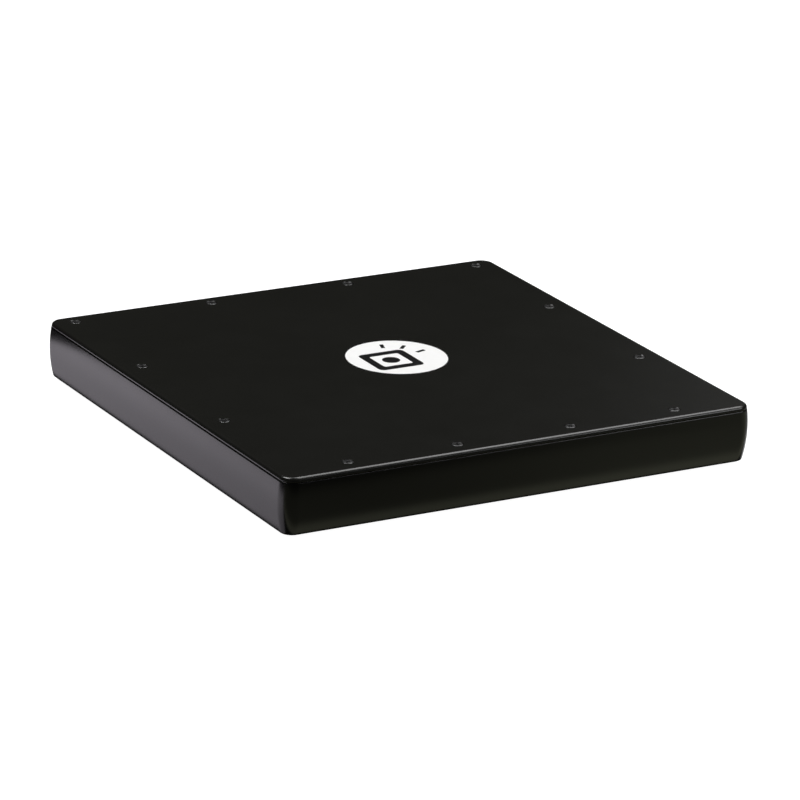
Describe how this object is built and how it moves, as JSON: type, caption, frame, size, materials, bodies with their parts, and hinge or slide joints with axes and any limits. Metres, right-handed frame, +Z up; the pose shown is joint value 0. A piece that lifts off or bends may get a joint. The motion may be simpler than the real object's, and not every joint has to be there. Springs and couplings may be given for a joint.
{
  "type": "lap cajon",
  "caption": "Slim square lap cajon: a screwed playing plate on bulging black walls, with a round sound hole underneath and snare wires inside.",
  "frame": {"origin": "on the floor under the middle of the box, in the plane of the feet's lower faces", "axes": "+X along the player's edge, to the player's right; +Y away from the player; +Z up, out of the playing plate"},
  "size_m": [0.39, 0.39, 0.0481],
  "materials": {
    "black_lacquer": "black satin lacquer",
    "tapa_lacquer": "black matt-satin lacquer",
    "panel_paint": "black matt paint",
    "birch": "bare sanded",
    "black_steel": "black, satin",
    "bright_steel": "bright",
    "badge_print": "printed white disc",
    "foot_rubber": "matt",
    "felt": "dark felt"
  },
  "bodies": {
    "root": {"front_wall": "black_lacquer", "right_wall": "black_lacquer", "rear_wall": "black_lacquer", "left_wall": "black_lacquer", "tapa": "tapa_lacquer", "back_panel": "panel_paint", "corner_block_front_left": "birch", "corner_block_front_right": "birch", "corner_block_rear_right": "birch", "corner_block_rear_left": "birch", "tapa_batten_front": "birch", "back_batten_front": "birch", "tapa_batten_right": "birch", "back_batten_right": "birch", "tapa_batten_rear": "birch", "back_batten_rear": "birch", "tapa_batten_left": "birch", "back_batten_left": "birch", "badge": "badge_print", "foot_front_left": "foot_rubber", "foot_screw_front_left": "black_steel", "foot_front_right": "foot_rubber", "foot_screw_front_right": "black_steel", "foot_rear_right": "foot_rubber", "foot_screw_rear_right": "black_steel", "foot_rear_left": "foot_rubber", "foot_screw_rear_left": "black_steel", "tapa_screw_01": "black_steel", "tapa_screw_02": "black_steel", "tapa_screw_03": "black_steel", "tapa_screw_04": "black_steel", "tapa_screw_05": "black_steel", "tapa_screw_06": "black_steel", "tapa_screw_07": "black_steel", "tapa_screw_08": "black_steel", "tapa_screw_09": "black_steel", "tapa_screw_10": "black_steel", "tapa_screw_11": "black_steel", "tapa_screw_12": "black_steel", "back_screw_01": "black_steel", "back_screw_02": "black_steel", "back_screw_03": "black_steel", "back_screw_04": "black_steel", "back_screw_05": "black_steel", "back_screw_06": "black_steel", "back_screw_07": "black_steel", "back_screw_08": "black_steel", "snare_bar": "birch", "snare_set_left": "bright_steel", "snare_set_right": "bright_steel", "snare_screw_1": "bright_steel", "snare_screw_2": "bright_steel", "snare_screw_3": "bright_steel", "snare_screw_4": "bright_steel", "damper_left": "felt", "damper_right": "felt"}
  },
  "joints": []
}
